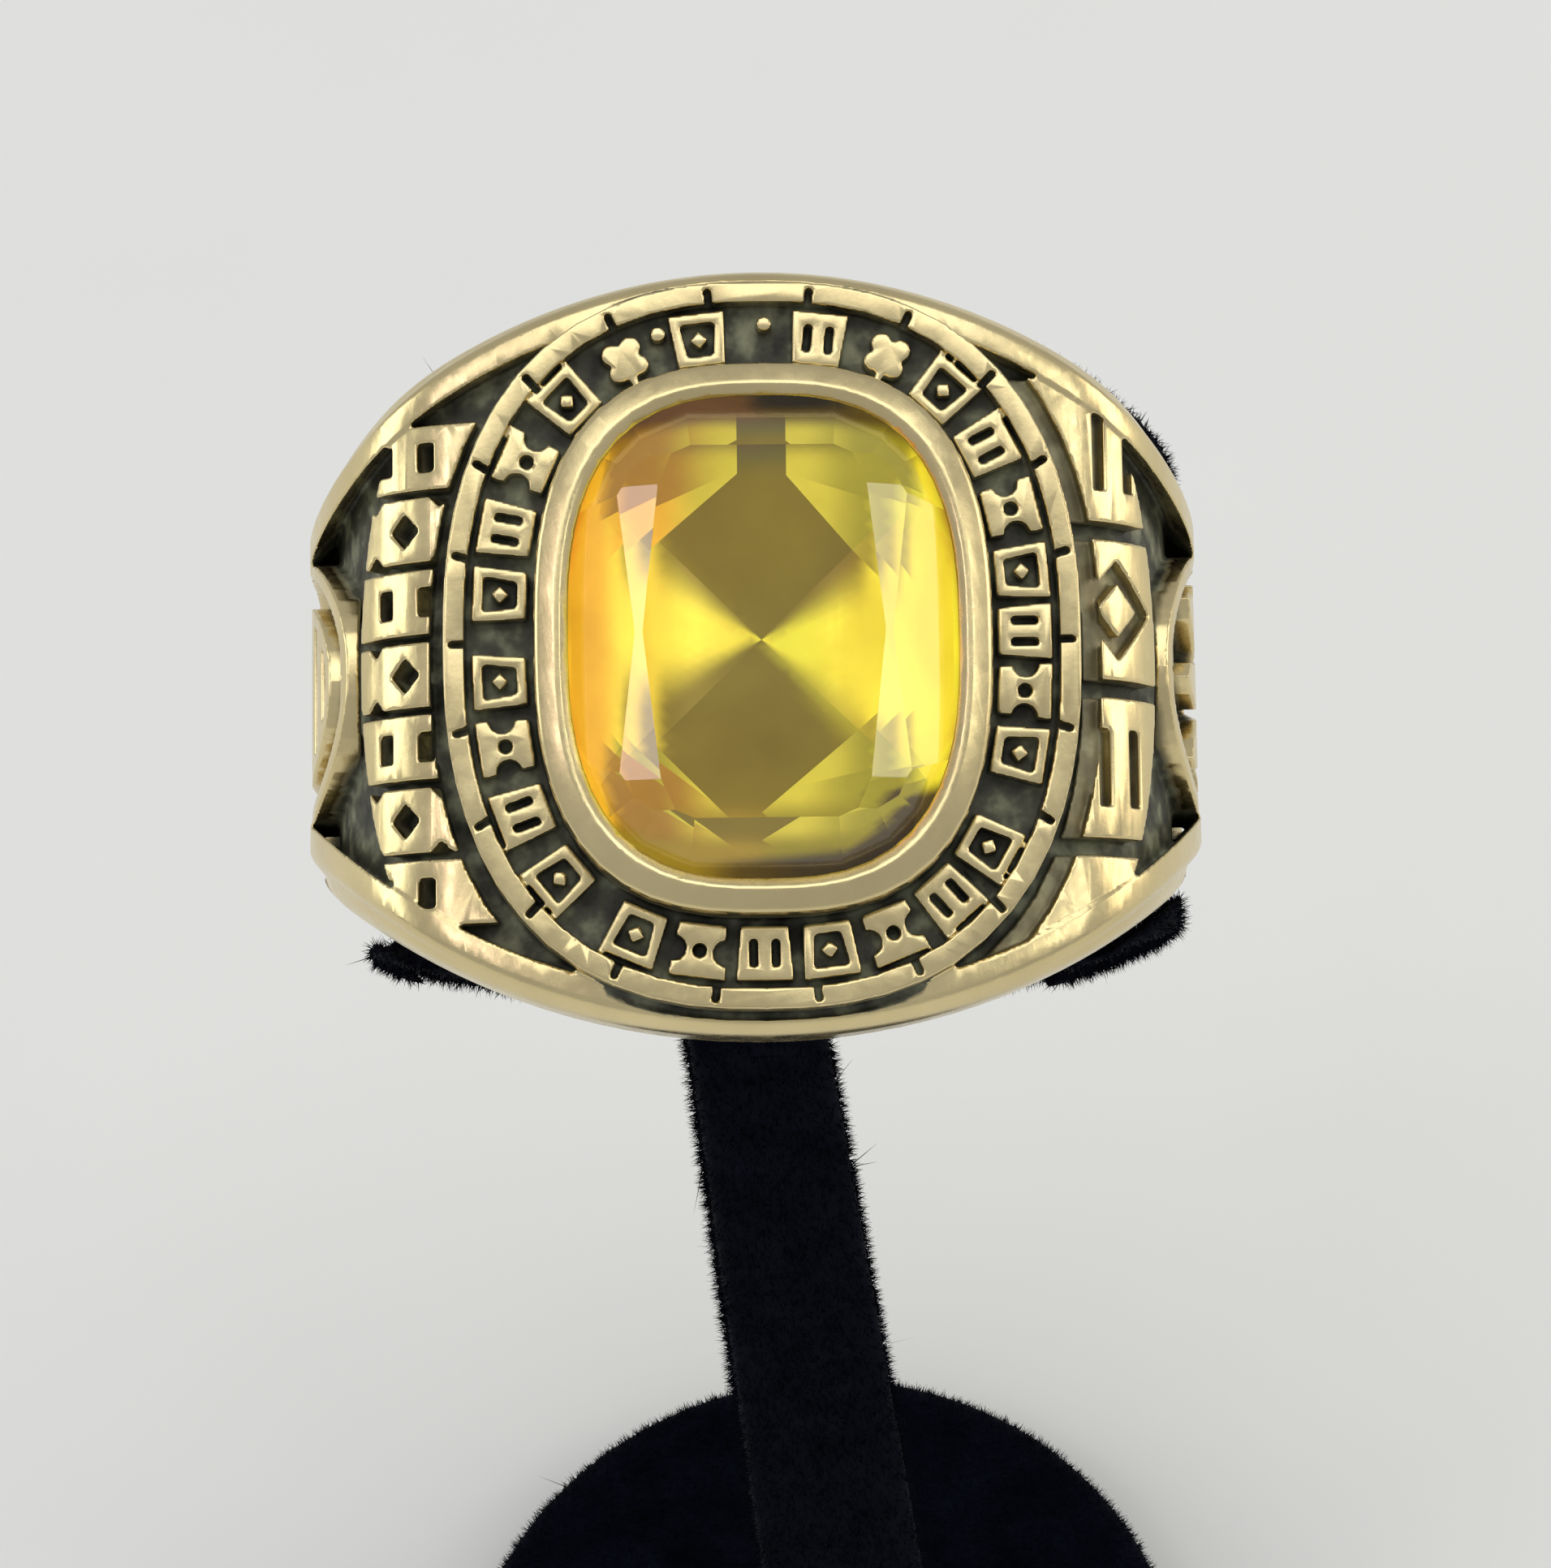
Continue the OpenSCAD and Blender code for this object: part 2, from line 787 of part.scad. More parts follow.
// Edge of one wing that stands out beside the band, on the side that faces +X
module wing_edge(out) {
    difference() {
        intersection() {
            clip_shell(clip_r - clip_t/2, bore_r + out);
            translate([bore_r/2, -reach, -reach]) cube([reach, 2*reach, 2*reach]);
        }
        through_head() lens(wing_clear);
    }
}

// Bend that joins the sleeve to the stem, as a round across the strip
module bend() {
    rotate([0, 90, 0]) cylinder(h = stem_top_w, d = stem_t, center = true);
}

module clip() {
    color(flock) {
        posed() {
            clip_shell(clip_r - clip_t, clip_r);
            wing_edge(wing_out_right);
            mirror([1, 0, 0]) wing_edge(wing_out_left);
            translate(bend_at + [-stem_top_w/2, 0, -stem_t/2])
                cube([stem_top_w, 3*stem_t, stem_t - tongue_drop]);
        }
        translate([stem_x, stem_y, 0]) {
            translate([0, 0, bend_height]) bend();
            rotate([90, 0, 0])
                linear_extrude(stem_t, center = true)
                    polygon([
                        [-stem_foot_w/2, plate_t - slot_d + stand_gap],
                        [stem_foot_w/2, plate_t - slot_d + stand_gap],
                        [stem_top_w/2, bend_height],
                        [-stem_top_w/2, bend_height]
                    ]);
        }
    }
}

module foot_plate() {
    color(flock)
        difference() {
            rotate_extrude() {
                square([plate_d/2 - plate_round, plate_t]);
                square([plate_d/2, plate_t - plate_round]);
                translate([plate_d/2 - plate_round, plate_t - plate_round]) circle(plate_round);
            }
            translate([stem_x - stem_foot_w/2 - stand_gap, stem_y - stem_t/2 - stand_gap,
                       plate_t - slot_d])
                cube([stem_foot_w + 2*stand_gap, stem_t + 2*stand_gap, slot_d + past]);
        }
}

ring_casting();
stone();
clip();
foot_plate();
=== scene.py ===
"""Looks for a class ring on a flocked clip stand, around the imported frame.

The ring's surfaces are worked on in the ring's own frame, in millimetres: X across the head,
Y along the finger hole, Z out through the stone. ring_to_world carries them to the row's frame.
"""

import math

import bmesh
import bpy
import numpy as np
from mathutils import Matrix, Vector


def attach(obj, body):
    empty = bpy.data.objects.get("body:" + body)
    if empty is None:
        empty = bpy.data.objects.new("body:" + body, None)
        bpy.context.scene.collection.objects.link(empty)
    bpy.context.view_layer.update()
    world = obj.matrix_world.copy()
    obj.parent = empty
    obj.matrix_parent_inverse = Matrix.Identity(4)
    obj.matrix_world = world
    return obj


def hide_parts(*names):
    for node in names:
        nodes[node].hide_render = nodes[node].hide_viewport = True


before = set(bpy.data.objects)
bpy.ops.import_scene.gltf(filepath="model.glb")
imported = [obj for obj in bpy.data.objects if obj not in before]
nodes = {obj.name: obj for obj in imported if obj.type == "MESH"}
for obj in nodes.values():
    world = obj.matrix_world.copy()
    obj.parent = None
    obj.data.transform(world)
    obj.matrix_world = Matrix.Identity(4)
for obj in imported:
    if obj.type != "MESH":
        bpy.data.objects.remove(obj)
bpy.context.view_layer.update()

MM = 0.001
SEED = 7

# Ring sizes in millimetres, as in the construction
BORE_R = 9.9
SIDE_X = 11.5
RAIL_Z = 12.95
GROOVE_Z = 12.7
FLOOR_Z = 13.2
BEZEL_Z = 15.0
RIM_W = 15.2
RIM_L = 17.5
RIM_POWER = 2.45
HEAD_L = 18.7
SIDE_W = 9.2
BAND_W = 7.2
RAIL_W = 0.93
PANEL_D = 0.75
SLAB_STEP_D = 0.43
CROWN_R = 24.0
BEND_R = 4.0
SHOULDER_R = 11.1
SHOULDER_DROP = 0.45
FLARE_R = 9.6
FLARE_DROP = 1.0
FLARE_Z = RAIL_Z - FLARE_DROP - FLARE_R
LENS_SAG = (HEAD_L - SIDE_W) / 2
LENS_R = (SIDE_X**2 + LENS_SAG**2) / (2 * LENS_SAG)

# Centres of the arcs of the outline seen along the finger, as X and Z
SHOULDER_X = SIDE_X - SHOULDER_R
SHOULDER_AT = np.array(
    [
        SHOULDER_X,
        RAIL_Z - SHOULDER_DROP - math.sqrt(SHOULDER_R**2 - (RIM_W / 2 - SHOULDER_X) ** 2),
    ]
)
CROWN_AT = np.array([0, RAIL_Z - CROWN_R])


def bend_centre():
    """Centre of the arc that touches the crown and the shoulder arc from inside."""
    step = SHOULDER_AT - CROWN_AT
    apart = np.hypot(*step)
    far = CROWN_R - BEND_R
    near = SHOULDER_R - BEND_R
    along = (far**2 - near**2 + apart**2) / (2 * apart)
    aside = math.sqrt(far**2 - along**2)
    return CROWN_AT + (along * step + aside * np.array([step[1], -step[0]])) / apart


BEND_CENTRE = bend_centre()

# Where the clip holds the ring, and how the ring is turned there
STEM_PLACE = Vector((1.2, -3.8, 47.3))
STEM_LEFT = 0.25
STEM_TOP_W = 3.4
STEM_T = 2.3
FACING = 58.0
RING_TURN = -11.0
CLIP_GAP = 0.1
CLIP_R = BORE_R - CLIP_GAP
CLIP_L = HEAD_L - 1.2
CLIP_NORTH = 0.3
BEND_AT = Vector(
    (
        -STEM_LEFT,
        CLIP_NORTH - CLIP_L / 2,
        math.sqrt(CLIP_R**2 - (STEM_TOP_W / 2) ** 2) - STEM_T / 2,
    )
)

ring_to_world = (
    Matrix.Scale(MM, 4)
    @ Matrix.Translation(STEM_PLACE)
    @ Matrix.Rotation(math.radians(90 - FACING), 4, "X")
    @ Matrix.Rotation(math.radians(RING_TURN), 4, "Z")
    @ Matrix.Translation(-BEND_AT)
)
world_to_ring = ring_to_world.inverted()


def moved(points, matrix):
    """Points, as rows of an array, carried by a matrix."""
    m = np.array(matrix)
    return points @ m[:3, :3].T + m[:3, 3]


def read_points(mesh):
    points = np.empty(len(mesh.vertices) * 3, dtype=np.float32)
    mesh.vertices.foreach_get("co", points)
    return points.reshape(-1, 3).astype(np.float64)


def write_points(mesh, points):
    mesh.vertices.foreach_set("co", np.ascontiguousarray(points, dtype=np.float32).ravel())
    mesh.update()


# Camera: a phone held close, looking almost straight at the stone
PHOTO_W = 1911
PHOTO_H = 1932
FOCAL_PX = 5240
SENSOR_W = 36
CAMERA_NEAR = 0.005
CAMERA_FAR = 10
AIM_ROUNDS = 20
CAMERA_AWAY = 100.0
TILT_SOUTH = 8.8
TILT_WEST = 1.4
ROLL = 0.8
BEZEL_PX = (941, 781)


def make_camera():
    """Stands the camera off the bezel and turns it until the bezel's centre lies on its pixel."""
    target = Vector((0, 0, BEZEL_Z))
    away = Vector((-math.sin(math.radians(TILT_WEST)), -math.sin(math.radians(TILT_SOUTH)), 0))
    away.z = math.sqrt(1 - away.length_squared)
    place = target + away * CAMERA_AWAY
    across = (BEZEL_PX[0] - PHOTO_W / 2) / FOCAL_PX
    down = (BEZEL_PX[1] - PHOTO_H / 2) / FOCAL_PX
    upright = Vector((math.sin(math.radians(ROLL)), math.cos(math.radians(ROLL)), 0))
    sight = -away
    ahead = sight.copy()
    for _ in range(AIM_ROUNDS):
        right = ahead.cross(upright).normalized()
        up = right.cross(ahead)
        depth = sight.dot(ahead)
        ahead = ahead + right * (sight.dot(right) / depth - across)
        ahead = (ahead + up * (sight.dot(up) / depth + down)).normalized()
    right = ahead.cross(upright).normalized()
    up = right.cross(ahead)
    turn = Matrix((right, up, -ahead)).transposed().to_4x4()
    data = bpy.data.cameras.new("camera")
    data.sensor_fit = "AUTO"
    data.sensor_width = SENSOR_W
    data.lens = FOCAL_PX / PHOTO_H * SENSOR_W
    data.clip_start = CAMERA_NEAR
    data.clip_end = CAMERA_FAR
    camera = bpy.data.objects.new("camera", data)
    bpy.context.scene.collection.objects.link(camera)
    world = ring_to_world @ Matrix.Translation(place) @ turn
    camera.matrix_world = Matrix.LocRotScale(world.to_translation(), world.to_quaternion(), None)
    bpy.context.scene.camera = camera


def new_object(name, mesh):
    piece = bpy.data.objects.new(name, mesh)
    bpy.context.scene.collection.objects.link(piece)
    return piece


def apply_modifiers(piece):
    """Gives a piece the mesh that its modifiers make, and removes them."""
    bpy.context.view_layer.update()
    graph = bpy.context.evaluated_depsgraph_get()
    mesh = bpy.data.meshes.new_from_object(piece.evaluated_get(graph))
    piece.modifiers.clear()
    piece.data = mesh
    return mesh


def remesh(piece, voxel, passes):
    """Turns a piece into an even mesh of small squares and relaxes it."""
    even = piece.modifiers.new("remesh", "REMESH")
    even.mode = "VOXEL"
    even.voxel_size = voxel
    even.adaptivity = 0
    smooth = piece.modifiers.new("smooth", "SMOOTH")
    smooth.factor = 0.5
    smooth.iterations = passes
    return apply_modifiers(piece)


def thin_out(piece, triangles):
    """Reduces a piece to at most so many triangles."""
    count = sum(len(polygon.vertices) - 2 for polygon in piece.data.polygons)
    if count > triangles:
        reduce = piece.modifiers.new("reduce", "DECIMATE")
        reduce.ratio = triangles / count
        apply_modifiers(piece)
    return piece.data


def shade_smooth(mesh):
    mesh.polygons.foreach_set("use_smooth", [True] * len(mesh.polygons))


def smooth_step(values, low, high):
    t = np.clip((values - low) / (high - low), 0, 1)
    return t * t * (3 - 2 * t)


# Materials


class Shader:
    """A material's node tree, with short calls for adding nodes and links."""

    def __init__(self, name):
        self.material = bpy.data.materials.new(name)
        self.material.use_nodes = True
        self.tree = self.material.node_tree
        self.tree.nodes.clear()
        self.surface = self.add("ShaderNodeOutputMaterial")
        self.body = self.add("ShaderNodeBsdfPrincipled")
        self.link(self.body.outputs[0], self.surface.inputs[0])

    def add(self, kind, **settings):
        node = self.tree.nodes.new(kind)
        for key, value in settings.items():
            setattr(node, key, value)
        return node

    def link(self, start, end):
        self.tree.links.new(start, end)

    def feed(self, socket, start):
        self.link(start, self.body.inputs[socket])

    def set(self, **values):
        for key, value in values.items():
            self.body.inputs[key.replace("_", " ")].default_value = value

    def attribute(self, name, output="Fac"):
        return self.add("ShaderNodeAttribute", attribute_name=name).outputs[output]

    def place(self):
        return self.add("ShaderNodeTexCoord").outputs["Object"]

    def noise(self, scale, detail=3.0, roughness=0.5, stretch=None):
        node = self.add("ShaderNodeTexNoise")
        node.inputs["Scale"].default_value = scale
        node.inputs["Detail"].default_value = detail
        node.inputs["Roughness"].default_value = roughness
        vector = self.place()
        if stretch:
            mapping = self.add("ShaderNodeMapping")
            mapping.inputs["Scale"].default_value = stretch[0]
            mapping.inputs["Rotation"].default_value = stretch[1]
            self.link(vector, mapping.inputs["Vector"])
            vector = mapping.outputs[0]
        self.link(vector, node.inputs["Vector"])
        return node.outputs["Fac"]

    def ramp(self, value, stops):
        node = self.add("ShaderNodeValToRGB")
        elements = node.color_ramp.elements
        while len(elements) < len(stops):
            elements.new(0.5)
        for element, (at, color) in zip(elements, stops):
            element.position = at
            element.color = (*color, 1)
        self.link(value, node.inputs[0])
        return node.outputs["Color"]

    def range(self, value, low, high, to_low=0.0, to_high=1.0):
        node = self.add("ShaderNodeMapRange")
        node.clamp = True
        for key, number in (
            ("From Min", low),
            ("From Max", high),
            ("To Min", to_low),
            ("To Max", to_high),
        ):
            node.inputs[key].default_value = number
        self.link(value, node.inputs["Value"])
        return node.outputs["Result"]

    def math(self, operation, first, second):
        node = self.add("ShaderNodeMath", operation=operation)
        for value, socket in ((first, node.inputs[0]), (second, node.inputs[1])):
            if isinstance(value, (int, float)):
                socket.default_value = value
            else:
                self.link(value, socket)
        return node.outputs[0]

    def mix(self, factor, first, second):
        node = self.add("ShaderNodeMix", data_type="RGBA")
        self.link(factor, node.inputs[0])
        self.link(first, node.inputs[6])
        self.link(second, node.inputs[7])
        return node.outputs[2]

    def bump(self, height, strength, distance, after=None):
        node = self.add("ShaderNodeBump")
        node.inputs["Strength"].default_value = strength
        node.inputs["Distance"].default_value = distance
        self.link(height, node.inputs["Height"])
        if after:
            self.link(after, node.inputs["Normal"])
        self.feed("Normal", node.outputs[0])
        return node.outputs[0]

    def cavity(self, distance):
        node = self.add("ShaderNodeAmbientOcclusion")
        node.samples = 8
        node.inputs["Distance"].default_value = distance
        return node.outputs["AO"]


def linear(red, green, blue):
    """Linear colour of a screen colour given from 0 to 255."""
    shares = (value / 255 for value in (red, green, blue))
    return tuple(s / 12.92 if s < 0.04 else ((s + 0.055) / 1.055) ** 2.4 for s in shares)


# Ring shape, as distances in the ring's frame


def right_of(px, pz, start, end):
    """Whether points lie right of the line from start to end."""
    return (end[0] - start[0]) * (pz - start[1]) - (end[1] - start[1]) * (px - start[0]) < 0


def profile_inset(points):
    """Distance inside the ring's outline seen along the finger, and the way out."""
    x = np.abs(points[:, 0])
    z = points[:, 2]
    sign = np.where(points[:, 0] < 0, -1.0, 1.0)
    shoulder = (z > SHOULDER_AT[1]) & right_of(x, z, SHOULDER_AT, BEND_CENTRE)
    crown = (z > SHOULDER_AT[1]) & ~right_of(x, z, CROWN_AT, BEND_CENTRE)
    bend = (z > SHOULDER_AT[1]) & ~shoulder & ~crown
    side = (z >= 0) & (z <= SHOULDER_AT[1])
    centre = np.zeros((len(x), 2))
    radius = np.full(len(x), SIDE_X)
    for where, middle, r in (
        (shoulder, SHOULDER_AT, SHOULDER_R),
        (bend, BEND_CENTRE, BEND_R),
        (crown, CROWN_AT, CROWN_R),
    ):
        centre[where] = middle
        radius[where] = r
    dx = x - centre[:, 0]
    dz = z - centre[:, 1]
    away = np.maximum(np.hypot(dx, dz), 1e-6)
    inset = np.where(side, SIDE_X - x, radius - away)
    out_x = np.where(side, sign, sign * dx / away)
    out_z = np.where(side, 0, dz / away)
    return inset, np.stack([out_x, np.zeros_like(x), out_z], axis=1)


def wall_inset(points):
    """Distance inside the ring's two ends along the finger, and the way out."""
    x, y, z = points.T
    sign = np.where(y < 0, -1.0, 1.0)
    centre_y = -sign * (LENS_R - HEAD_L / 2)
    away = np.hypot(x, y - centre_y)
    lens = LENS_R - away
    lens_out = np.stack([x / away, (y - centre_y) / away, 0 * x], axis=1)
    share = np.clip((z + SIDE_X + 1) / (FLARE_Z + SIDE_X + 1), 0, 1)
    half = BAND_W / 2 + (SIDE_W - BAND_W) / 2 * share
    flare = SIDE_W / 2 + FLARE_R - np.sqrt(np.maximum(FLARE_R**2 - (z - FLARE_Z) ** 2, 0))
    half = np.where(z > FLARE_Z, np.minimum(flare, HEAD_L / 2), half)
    side = half - np.abs(y)
    out = np.where((lens < side)[:, None], lens_out, np.stack([0 * x, sign, 0 * x], axis=1))
    return np.minimum(lens, side), out


def oval_inset(points, width, length, power):
    """Rough distance inside an oval."""
    x = np.abs(points[:, 0]) / (width / 2)
    y = np.abs(points[:, 1]) / (length / 2)
    r = np.maximum((x**power + y**power) ** (1 / power), 1e-6)
    return np.hypot(points[:, 0], points[:, 1]) * (1 / r - 1)


def round_edge(points, first, second, radii):
    """Rounds the edge where two insets meet to a quarter ellipse, and returns the moved points."""
    (a, a_out), (b, b_out) = first, second
    u = 1 - np.clip(a / radii[0], 0, 1)
    v = 1 - np.clip(b / radii[1], 0, 1)
    away = np.maximum(np.hypot(u, v), 1e-9)
    over = np.where((u > 0) & (v > 0) & (away > 1), 1 - 1 / away, 0)
    return (
        points
        - (over * u * radii[0])[:, None] * a_out
        - (over * v * radii[1])[:, None] * b_out
    )


# Ring

RING_VOXEL = 0.05
RING_PASSES = 3
PIECE_TRIANGLES = 190000
RAIL_ROUND_ACROSS = 0.5
RAIL_ROUND_DOWN = 0.9
HOLE_ROUND = 0.3

# Where patina sets in, as the two ends of each change in millimetres
PANEL_DEPTHS = (SLAB_STEP_D + 0.05, PANEL_D - 0.06)
STEP_DEPTHS = (0.22, SLAB_STEP_D - 0.04)
STEP_PATINA = 0.62
PANEL_INSIDE_RAIL = (RAIL_W * 0.75, RAIL_W)
PANEL_OFF_HOLE = (BORE_R + 0.15, BORE_R + 0.4)
GROUND_HEIGHTS = (FLOOR_Z + 0.06, FLOOR_Z + 0.34)
GROUND_LOWEST = FLOOR_Z - 0.3
GROUND_INSIDE_RIM = 0.06
GROOVE_DEPTHS = (0, 0.12)
GROOVE_TOP = RAIL_Z - 0.04
GROOVE_LOWEST = GROOVE_Z - 0.05
GROOVE_OFF_RIM = (-0.3, -0.2)
GROOVE_INSIDE_RAIL = RAIL_W * 0.4

# Pairs of a place on the noise's scale and a colour
GOLD_TONES = [(0.3, (0.66, 0.54, 0.285)), (0.7, (0.77, 0.64, 0.35))]
TARNISH_TONES = [
    (0.3, (0.016, 0.015, 0.011)),
    (0.5, (0.075, 0.077, 0.052)),
    (0.68, (0.25, 0.26, 0.17)),
]
# Ambient occlusion within CREVICE_W millimetres darkens crevices, partly as patina and partly as
# painted shade; CREVICE_SHARE is how far it darkens.
CREVICE_W = 0.8
CREVICE_SHARE = 0.85
BLOTCH_SHARE = 0.3
GOLD_ROUGHNESS = (0.2, 0.31)
PATINA_ROUGHNESS = 0.6

# Grain and fine streaks: how strong, how deep in millimetres, and the streaks' scale and turn
GRAIN_STRENGTH = 0.16
GRAIN_DEPTH = 0.05
STREAK_STRENGTH = 0.08
STREAK_DEPTH = 0.03
STREAK_STRETCH = ((9, 1, 1), (0.3, 0.5, 0.9))


def make_ring():
    """Replaces the casting with an even mesh, its outer edges rounded and its relief softened."""
    source = nodes["ring_casting"].data.copy()
    write_points(source, moved(read_points(source), world_to_ring))
    piece = new_object("ring_gold", source)
    mesh = remesh(piece, RING_VOXEL, RING_PASSES)
    points = read_points(mesh)
    points = round_edge(
        points, wall_inset(points), profile_inset(points), (RAIL_ROUND_ACROSS, RAIL_ROUND_DOWN)
    )
    above_hole = np.hypot(points[:, 0], points[:, 2]) - BORE_R
    into_hole = -points * (1, 0, 1) / np.maximum(above_hole + BORE_R, 1e-6)[:, None]
    points = round_edge(
        points, wall_inset(points), (above_hole, into_hole), (HOLE_ROUND, HOLE_ROUND)
    )
    write_points(mesh, points)
    mesh = thin_out(piece, PIECE_TRIANGLES)
    points = read_points(mesh)
    add_patina(mesh, points)
    write_points(mesh, moved(points, ring_to_world))
    shade_smooth(mesh)
    piece.modifiers.new("normals", "WEIGHTED_NORMAL")
    mesh = apply_modifiers(piece)
    mesh.materials.clear()
    mesh.materials.append(gold_material())
    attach(piece, "root")
    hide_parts("ring_casting")


def add_patina(mesh, points):
    """Stores how dark each point is with patina, from 0 to 1, by its depth below the relief."""
    inset, _ = profile_inset(points)
    wall, _ = wall_inset(points)
    z = points[:, 2]
    in_rim = oval_inset(points, RIM_W, RIM_L, RIM_POWER)
    panel = smooth_step(inset, *PANEL_DEPTHS)
    step = smooth_step(inset, *STEP_DEPTHS) * (points[:, 0] > 0)
    panel = np.maximum(panel, step * STEP_PATINA)
    panel *= smooth_step(wall, *PANEL_INSIDE_RAIL)
    panel *= smooth_step(np.hypot(points[:, 0], z), *PANEL_OFF_HOLE)
    ground = (1 - smooth_step(z, *GROUND_HEIGHTS)) * (z > GROUND_LOWEST)
    groove = smooth_step(GROOVE_TOP - z, *GROOVE_DEPTHS) * (z > GROOVE_LOWEST)
    groove *= smooth_step(in_rim, *GROOVE_OFF_RIM) * (wall > GROOVE_INSIDE_RAIL)
    patina = np.where(in_rim > GROUND_INSIDE_RIM, ground, np.maximum(panel, groove))
    layer = mesh.attributes.new("patina", "FLOAT", "POINT")
    layer.data.foreach_set("value", patina.astype(np.float32))


def gold_material():
    """Satin gold that turns to dull patina where the stored patina says so, and darker where
    ambient occlusion finds a crevice: there partly patina, partly painted shade.
    """
    gold = Shader("gold")
    patina = gold.attribute("patina")
    # Crevices found by ambient occlusion darken: partly patina, partly painted shade where the
    # surroundings hide the light.
    crevice_patina_and_shade = gold.range(gold.cavity(CREVICE_W * MM), 0.15, 0.6, 1.0, 0.0)
    blotch = gold.math("MULTIPLY", gold.noise(1100, 4), BLOTCH_SHARE)
    dark = gold.math("MAXIMUM", patina, gold.math("MULTIPLY", crevice_patina_and_shade, CREVICE_SHARE))
    dark = gold.range(gold.math("ADD", dark, blotch), 0.35, 0.9)
    tone = gold.ramp(gold.noise(350, 3), GOLD_TONES)
    tarnish = gold.ramp(gold.noise(1300, 3), TARNISH_TONES)
    gold.feed("Base Color", gold.mix(dark, tone, tarnish))
    gold.feed("Metallic", gold.range(dark, 0.4, 0.9, 1.0, 0.2))
    rough = gold.range(gold.noise(2500, 4, 0.6), 0.3, 0.7, *GOLD_ROUGHNESS)
    dull = gold.math("MULTIPLY", dark, PATINA_ROUGHNESS)
    gold.feed("Roughness", gold.math("MAXIMUM", rough, dull))
    grain = gold.bump(gold.noise(1300, 4, 0.55), GRAIN_STRENGTH, GRAIN_DEPTH * MM)
    streaks = gold.noise(700, 2, 0.5, STREAK_STRETCH)
    gold.bump(streaks, STREAK_STRENGTH, STREAK_DEPTH * MM, grain)
    return gold.material


# Stone

# Colours painted on the lower facets. Besides the stone's own yellow they paint its reflections
# and shade: bright tones are painted reflections, dark tones painted shade.
LEMON = linear(250, 244, 72)
YELLOW = linear(254, 236, 80)
AMBER = linear(250, 192, 58)
ORANGE = linear(232, 124, 34)
OLIVE = linear(132, 116, 36)
KHAKI = linear(168, 160, 52)
STRAW = linear(226, 214, 80)
SLATE = linear(112, 108, 60)
TAN = linear(178, 134, 50)
PURPLE = linear(112, 84, 68)
BROWN = linear(96, 80, 46)
DARK_REFLECTION = linear(48, 47, 54)
CLOUD_TONES = [(0.3, (0.82, 0.8, 0.7)), (0.65, (1, 1, 1))]
STONE_HALF_W = 5
STONE_HALF_L = 6.15

# Faces within this many degrees are one facet, and those that rise less than this face down
FLAT_ANGLE = 0.5
LOWER_RISE = 0.1
FACET_CUTS = 4

# The point under the stone lies this far off its middle. The shift fades out from CULET_Z up to
# GIRDLE_Z.
CULET_NORTH = 0.2
CULET_Z = 10.95
GIRDLE_Z = 13.9

# The two bright fans of painted reflection open from here. Each has its middle, the half angle
# that is all bright and the half angle where it ends, in degrees.
FANS_AT = (0, CULET_NORTH)
FAN_EAST = (-8, 16, 52)
FAN_WEST = (176, 12, 44)

# Sharp lines between tones on the lower facets, each drawn with the stone's middle on its right.
# The inner four end the two olive kites. Straw corners lie between them and the outer four.
KITE_LINES = [
    ((-2.0, 2.85), (-0.56, 4.03)),
    ((0.61, 3.99), (2.1, 2.35)),
    ((2.55, -1.85), (0.69, -3.45)),
    ((-1.08, -4.0), (-2.37, -2.65)),
]
END_LINES = [
    ((-2.2, 3.42), (-0.65, 4.07)),
    ((0.91, 3.94), (2.55, 3.45)),
    ((2.2, -3.15), (0.74, -3.48)),
    ((-1.03, -4.0), (-2.29, -3.0)),
]
# Sides of the grey column past the north kite, and where it starts
COLUMN = (-0.56, 0.61)
COLUMN_Y = 3.9

# The two ends of each soft change between tones, in millimetres in the ring's frame. Those named
# rim are shares of the stone's half size.
FADE = {
    "west": (-0.5, 0.5),
    "north": (-0.5, 0.5),
    "fan amber x": (1.9, 3.2),
    "fan amber y": (-0.6, 1.8),
    "flank yellow": (3.3, 2.5),
    "flank": (2.3, 2.75),
    "corner outer": (1.4, 2.6),
    "corner flank": (2.6, 3.0),
    "end outer": (0.8, 2.2),
    "end flank x": (2.9, 3.3),
    "end flank y": (4.5, 3.9),
    "column": (4.6, COLUMN_Y),
    "below": (3.7, 4.4),
    "edge x": (3.3, 4.2),
    "edge y": (3.9, 5.0),
    "edge rim": (0.84, 0.96),
    "top": (4.3, 5.0),
    "ink start": (-0.5, 0.1),
    "ink end": (1.5, 2.3),
    "ink y": (4.9, 5.4),
    "foot": (4.5, 4.95),
    "foot start": (-1.9, -0.5),
    "foot ink": (-0.5, 1.0),
    "low east": (4.25, 4.35),
    "low east y": (3.0, 3.5),
    "low east rim": (0.7, 1.0),
}
CENTRE_SHARE = 0.1
FLANK_YELLOW = 0.8
BELOW_KHAKI = 0.6
BELOW_TAN = 0.4
FOOT_DARK_REFLECTION = 0.6
FOOT_SLOPE = 0.12
LOW_EAST_WAY = (0.75, -0.66)


def blend(first, second, share):
    """Colours from first to second by a share for each row."""
    return np.asarray(first) * (1 - share[:, None]) + np.asarray(second) * share[:, None]


def fade(name, values):
    """Share from 0 to 1 of a named soft change."""
    return smooth_step(values, *FADE[name])


def fan_share(angle, middle, inner, outer):
    """How far a direction lies inside a fan that opens about its middle, from 0 to 1."""
    off = np.abs((angle - middle + 180) % 360 - 180)
    return 1 - smooth_step(off, inner, outer)


